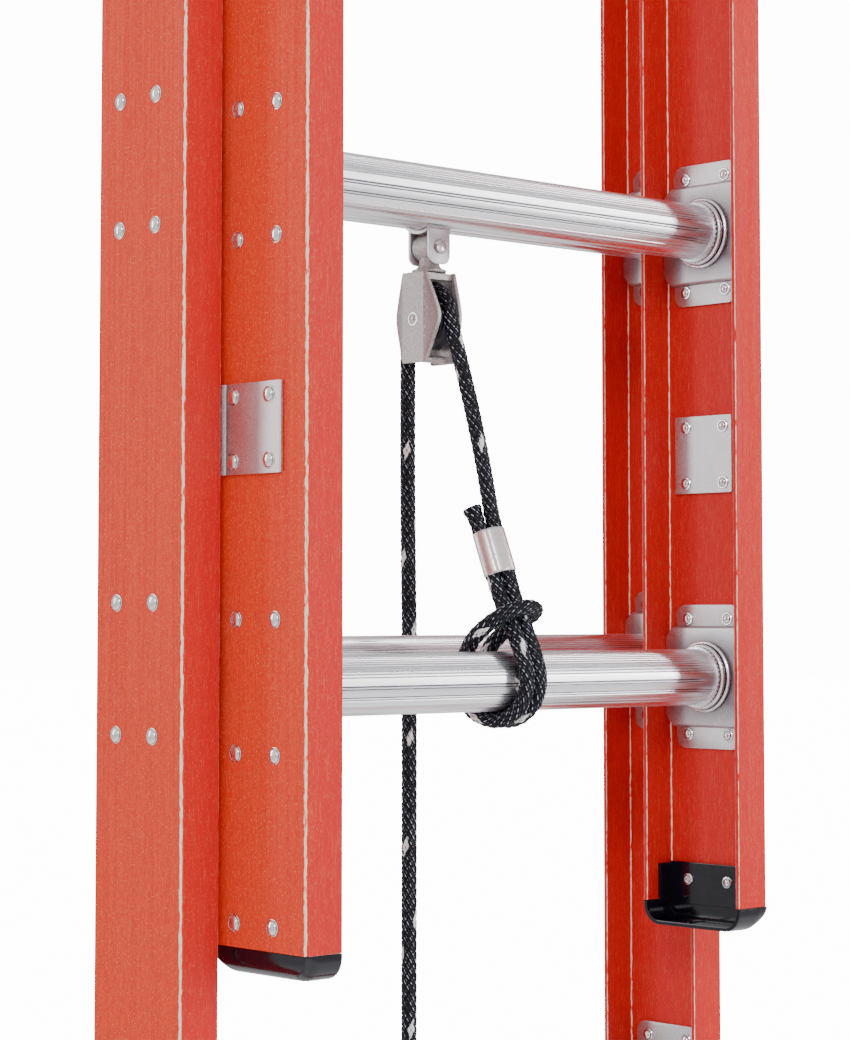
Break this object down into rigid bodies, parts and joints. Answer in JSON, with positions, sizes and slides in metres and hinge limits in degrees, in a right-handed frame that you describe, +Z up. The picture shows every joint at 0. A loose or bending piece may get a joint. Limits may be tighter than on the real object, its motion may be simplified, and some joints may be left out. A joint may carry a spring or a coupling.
{
  "type": "extension ladder",
  "caption": "Two-section fibreglass extension ladder with fluted aluminium rungs, sliding fly section, rope and pulley, spring rung locks and swivel feet.",
  "frame": {"origin": "on the ground, under the middle of the ladder's box", "axes": "+Z up along the rails, +X across the ladder to the climber's right as they face it, +Y away from the climber, from the fly section to the base section"},
  "size_m": [0.488, 0.1648, 4.007],
  "materials": {
    "fibreglass": "satin orange-red pultruded fibreglass with fine light flecks",
    "rung_aluminium": "bright extruded, fluted along its length",
    "plate_aluminium": "satin pressed sheet",
    "galvanised_steel": "galvanised, finely speckled",
    "plated_steel": "zinc plated",
    "foot_steel": "zinc plated pressed steel",
    "black_moulding": "glossy black moulding",
    "pad_rubber": "matt ribbed rubber",
    "sheave_plastic": "black nylon",
    "ferrule_aluminium": "smooth crimped sleeve",
    "black_rope": "black braided rope with white flecks"
  },
  "bodies": {
    "base": {"base_rail_left": "fibreglass", "base_rail_right": "fibreglass", "base_rung_1": "rung_aluminium", "base_rung_2": "rung_aluminium", "base_rung_3": "rung_aluminium", "base_rung_4": "rung_aluminium", "base_rung_5": "rung_aluminium", "base_rung_6": "rung_aluminium", "base_rung_7": "rung_aluminium", "base_rung_8": "rung_aluminium", "base_top_cap_left": "black_moulding", "base_top_cap_right": "black_moulding", "top_guide_left": "plate_aluminium", "top_guide_right": "plate_aluminium", "foot_bolt_left": "plated_steel", "foot_bolt_right": "plated_steel", "pulley_strap": "galvanised_steel", "strap_pin": "plated_steel", "hauling_strand": "black_rope", "rope_coil": "black_rope", "rope_end_knot": "black_rope"},
    "fly": {"fly_rail_left": "fibreglass", "fly_rail_right": "fibreglass", "fly_rung_1": "rung_aluminium", "fly_rung_2": "rung_aluminium", "fly_rung_3": "rung_aluminium", "fly_rung_4": "rung_aluminium", "fly_rung_5": "rung_aluminium", "fly_rung_6": "rung_aluminium", "fly_rung_7": "rung_aluminium", "fly_rung_8": "rung_aluminium", "fly_guide_left": "plate_aluminium", "fly_guide_right": "plate_aluminium", "backing_plate_left": "plate_aluminium", "backing_plate_right": "plate_aluminium", "fly_bottom_cap_left": "black_moulding", "fly_bottom_cap_right": "black_moulding", "fly_top_cap_left": "black_moulding", "fly_top_cap_right": "black_moulding", "lock_bracket_left": "plate_aluminium", "lock_bracket_right": "plate_aluminium", "lock_pin_left": "plated_steel", "lock_pin_right": "plated_steel", "lock_spring_left": "plated_steel", "lock_spring_right": "plated_steel", "ferrule": "ferrule_aluminium", "rope_eye_loop": "black_rope", "rope_tail": "black_rope", "lift_strand": "black_rope"},
    "pulley_eye": {"pulley_eye": "galvanised_steel"},
    "pulley_block": {"pulley_block": "galvanised_steel", "sheave_axle": "plated_steel", "rope_over_sheave": "black_rope"},
    "sheave": {"sheave": "sheave_plastic"},
    "lock_pawl_left": {"lock_pawl_left": "plate_aluminium"},
    "lock_pawl_right": {"lock_pawl_right": "plate_aluminium"},
    "foot_left": {"foot_left": "foot_steel", "foot_pad_left": "pad_rubber"},
    "foot_right": {"foot_right": "foot_steel", "foot_pad_right": "pad_rubber"}
  },
  "joints": [
    {"name": "fly_slide", "type": "slide", "parent": "base", "child": "fly", "axis": [0, 0, 1], "range_m": [-1.524, 0.0762], "deforming": ["lift_strand"]},
    {"name": "sheave_spin", "type": "hinge", "parent": "pulley_block", "child": "sheave", "pos_m": [0.0025, 0.0356, 1.9404], "axis": [1, 0, 0], "continuous": true},
    {"name": "pulley_swing", "type": "hinge", "parent": "base", "child": "pulley_eye", "pos_m": [0.0025, 0.0356, 1.9886], "axis": [0, 1, 0], "range_deg": [-3, 3]},
    {"name": "pulley_swivel", "type": "hinge", "parent": "pulley_eye", "child": "pulley_block", "pos_m": [0.0025, 0.0356, 1.9716], "axis": [0, 0, 1], "range_deg": [-5, 5]},
    {"name": "lock_left", "type": "hinge", "parent": "fly", "child": "lock_pawl_left", "pos_m": [-0.1535, 0.0016, 2.4136], "axis": [1, 0, 0], "range_deg": [-25, 0], "stiffness_Nm_per_rad": 0.06, "springref_deg": 28.65},
    {"name": "lock_right", "type": "hinge", "parent": "fly", "child": "lock_pawl_right", "pos_m": [0.1535, 0.0016, 2.4136], "axis": [1, 0, 0], "range_deg": [-25, 0], "stiffness_Nm_per_rad": 0.06, "springref_deg": 28.65},
    {"name": "foot_swivel_left", "type": "hinge", "parent": "base", "child": "foot_left", "pos_m": [-0.2325, 0.0324, 0.0625], "axis": [1, 0, 0], "range_deg": [-35, 35]},
    {"name": "foot_swivel_right", "type": "hinge", "parent": "base", "child": "foot_right", "pos_m": [0.2325, 0.0324, 0.0625], "axis": [1, 0, 0], "range_deg": [-35, 35]}
  ],
  "couplings": [
    {"joint": "sheave_spin", "follows": "fly_slide", "rad_per_m": -48.077}
  ]
}
